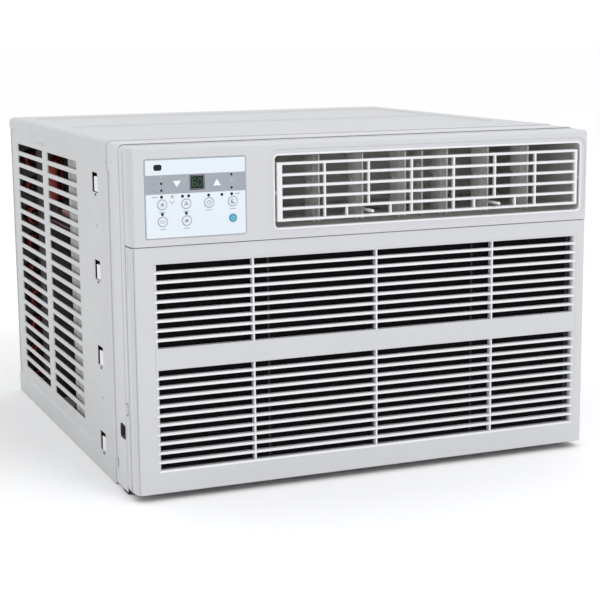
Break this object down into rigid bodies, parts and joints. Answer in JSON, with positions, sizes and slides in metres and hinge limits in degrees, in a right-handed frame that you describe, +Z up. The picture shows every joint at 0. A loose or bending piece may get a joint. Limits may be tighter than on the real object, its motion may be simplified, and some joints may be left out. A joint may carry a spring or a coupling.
{
  "type": "window air conditioner",
  "caption": "Window air conditioner in a louvred steel sleeve: hinged inlet grille with filter, keypad, tilting outlet louvre with linked vanes, fans, coils and compressor.",
  "frame": {"origin": "middle of the underside: under the centre of the whole unit's box, on the surface that it stands on", "axes": "+X to the right as seen from the room, +Y from the room side to the outdoor side, +Z up; the front faces -Y"},
  "size_m": [0.66, 0.7, 0.452],
  "materials": {
    "painted_steel": "satin, slightly textured powder paint",
    "galvanised_steel": "dull zinc",
    "white_plastic": "fine satin moulding grain",
    "panel_film": "smooth printed film",
    "button_white": "smooth",
    "button_blue": "smooth",
    "black_gloss": "gloss",
    "lamp_lens": "frosted lens",
    "board_green": "solder mask",
    "dark_plastic": "satin",
    "filter_mesh": "woven nylon mesh",
    "foam_white": "moulded foam",
    "fan_black": "satin",
    "motor_grey": "satin",
    "zinc_steel": "bright zinc",
    "black_steel": "black enamel",
    "black_rubber": "matte",
    "aluminium_fin": "mill finish",
    "copper": "dull copper",
    "capacitor_can": "drawn can"
  },
  "bodies": {
    "chassis": {"cabinet": "painted_steel", "base_pan": "painted_steel", "front_bezel": "white_plastic", "control_panel": "panel_film", "display_window": "black_gloss", "ir_window": "black_gloss", "indicator_lamps": "lamp_lens", "control_board": "board_green", "discharge_duct": "foam_white", "blower_housing": "foam_white", "fan_motor": "motor_grey", "motor_bracket": "galvanised_steel", "bulkhead": "galvanised_steel", "fan_shroud": "galvanised_steel", "evaporator_fins": "aluminium_fin", "evaporator_tubes": "copper", "evaporator_end_plates": "galvanised_steel", "condenser_fins": "aluminium_fin", "condenser_tubes": "copper", "condenser_end_plates": "galvanised_steel", "compressor": "black_steel", "compressor_grommets": "black_rubber", "compressor_studs": "zinc_steel", "terminal_cover": "dark_plastic", "accumulator": "black_steel", "suction_line": "copper", "discharge_line": "copper", "liquid_line": "copper", "filter_drier": "copper", "capillary_tube": "copper", "control_box": "galvanised_steel", "run_capacitor": "capacitor_can", "cord_grommet": "black_rubber", "front_feet": "black_rubber", "sleeve_screws": "zinc_steel"},
    "grille": {"inlet_grille": "white_plastic", "grille_hinge_pins": "zinc_steel", "air_filter_frame": "dark_plastic", "air_filter_mesh": "filter_mesh"},
    "louvre": {"louver_frame": "white_plastic"},
    "rotor": {"motor_shaft": "zinc_steel", "blower_wheel": "fan_black", "condenser_fan": "fan_black"},
    "vane_2": {"vane_2": "white_plastic"},
    "vane_1": {"vane_1": "white_plastic"},
    "vane_3": {"vane_3": "white_plastic"},
    "vane_link_left": {"vane_link_left": "white_plastic"},
    "vane_5": {"vane_5": "white_plastic"},
    "vane_4": {"vane_4": "white_plastic"},
    "vane_6": {"vane_6": "white_plastic"},
    "vane_link_right": {"vane_link_right": "white_plastic"},
    "temp_down_button": {"temp_down_button": "button_white"},
    "temp_up_button": {"temp_up_button": "button_white"},
    "power_button": {"power_button": "button_blue"},
    "mode_button": {"mode_button": "button_white"},
    "fan_speed_button": {"fan_speed_button": "button_white"},
    "timer_button": {"timer_button": "button_white"},
    "sleep_button": {"sleep_button": "button_white"},
    "swing_button": {"swing_button": "button_white"},
    "saver_button": {"saver_button": "button_white"}
  },
  "joints": [
    {"name": "grille_hinge", "type": "hinge", "parent": "chassis", "child": "grille", "pos_m": [0, -0.332, 0.018], "axis": [1, 0, 0], "range_deg": [0, 70]},
    {"name": "louvre_tilt", "type": "hinge", "parent": "chassis", "child": "louvre", "pos_m": [0.0875, -0.333, 0.385], "axis": [1, 0, 0], "range_deg": [-12, 12]},
    {"name": "fan_spin", "type": "hinge", "parent": "chassis", "child": "rotor", "pos_m": [0.02, 0.06, 0.195], "axis": [0, 1, 0], "continuous": true},
    {"name": "vane_2_swing", "type": "hinge", "parent": "chassis", "child": "vane_2", "pos_m": [-0.00565, -0.3, 0.385], "axis": [0, 0, 1], "range_deg": [-30, 30]},
    {"name": "vane_1_swing", "type": "hinge", "parent": "chassis", "child": "vane_1", "pos_m": [-0.06775, -0.3, 0.385], "axis": [0, 0, 1], "range_deg": [-30, 30]},
    {"name": "vane_3_swing", "type": "hinge", "parent": "chassis", "child": "vane_3", "pos_m": [0.05645, -0.3, 0.385], "axis": [0, 0, 1], "range_deg": [-30, 30]},
    {"name": "vane_link_left_turn", "type": "hinge", "parent": "vane_2", "child": "vane_link_left", "pos_m": [-0.00565, -0.28, 0.3875], "axis": [0, 0, 1], "range_deg": [-30, 30]},
    {"name": "vane_5_swing", "type": "hinge", "parent": "chassis", "child": "vane_5", "pos_m": [0.18065, -0.3, 0.385], "axis": [0, 0, 1], "range_deg": [-30, 30]},
    {"name": "vane_4_swing", "type": "hinge", "parent": "chassis", "child": "vane_4", "pos_m": [0.11855, -0.3, 0.385], "axis": [0, 0, 1], "range_deg": [-30, 30]},
    {"name": "vane_6_swing", "type": "hinge", "parent": "chassis", "child": "vane_6", "pos_m": [0.24275, -0.3, 0.385], "axis": [0, 0, 1], "range_deg": [-30, 30]},
    {"name": "vane_link_right_turn", "type": "hinge", "parent": "vane_5", "child": "vane_link_right", "pos_m": [0.18065, -0.28, 0.3875], "axis": [0, 0, 1], "range_deg": [-30, 30]},
    {"name": "temp_down_button_press", "type": "slide", "parent": "chassis", "child": "temp_down_button", "axis": [0, 1, 0], "range_m": [0, 0.0008], "stiffness_N_per_m": 400},
    {"name": "temp_up_button_press", "type": "slide", "parent": "chassis", "child": "temp_up_button", "axis": [0, 1, 0], "range_m": [0, 0.0008], "stiffness_N_per_m": 400},
    {"name": "power_button_press", "type": "slide", "parent": "chassis", "child": "power_button", "axis": [0, 1, 0], "range_m": [0, 0.0008], "stiffness_N_per_m": 400},
    {"name": "mode_button_press", "type": "slide", "parent": "chassis", "child": "mode_button", "axis": [0, 1, 0], "range_m": [0, 0.0008], "stiffness_N_per_m": 400},
    {"name": "fan_speed_button_press", "type": "slide", "parent": "chassis", "child": "fan_speed_button", "axis": [0, 1, 0], "range_m": [0, 0.0008], "stiffness_N_per_m": 400},
    {"name": "timer_button_press", "type": "slide", "parent": "chassis", "child": "timer_button", "axis": [0, 1, 0], "range_m": [0, 0.0008], "stiffness_N_per_m": 400},
    {"name": "sleep_button_press", "type": "slide", "parent": "chassis", "child": "sleep_button", "axis": [0, 1, 0], "range_m": [0, 0.0008], "stiffness_N_per_m": 400},
    {"name": "swing_button_press", "type": "slide", "parent": "chassis", "child": "swing_button", "axis": [0, 1, 0], "range_m": [0, 0.0008], "stiffness_N_per_m": 400},
    {"name": "saver_button_press", "type": "slide", "parent": "chassis", "child": "saver_button", "axis": [0, 1, 0], "range_m": [0, 0.0008], "stiffness_N_per_m": 400}
  ],
  "couplings": [
    {"joint": "vane_1_swing", "follows": "vane_2_swing", "ratio": 1},
    {"joint": "vane_3_swing", "follows": "vane_2_swing", "ratio": 1},
    {"joint": "vane_link_left_turn", "follows": "vane_2_swing", "ratio": -1},
    {"joint": "vane_4_swing", "follows": "vane_5_swing", "ratio": 1},
    {"joint": "vane_6_swing", "follows": "vane_5_swing", "ratio": 1},
    {"joint": "vane_link_right_turn", "follows": "vane_5_swing", "ratio": -1}
  ]
}
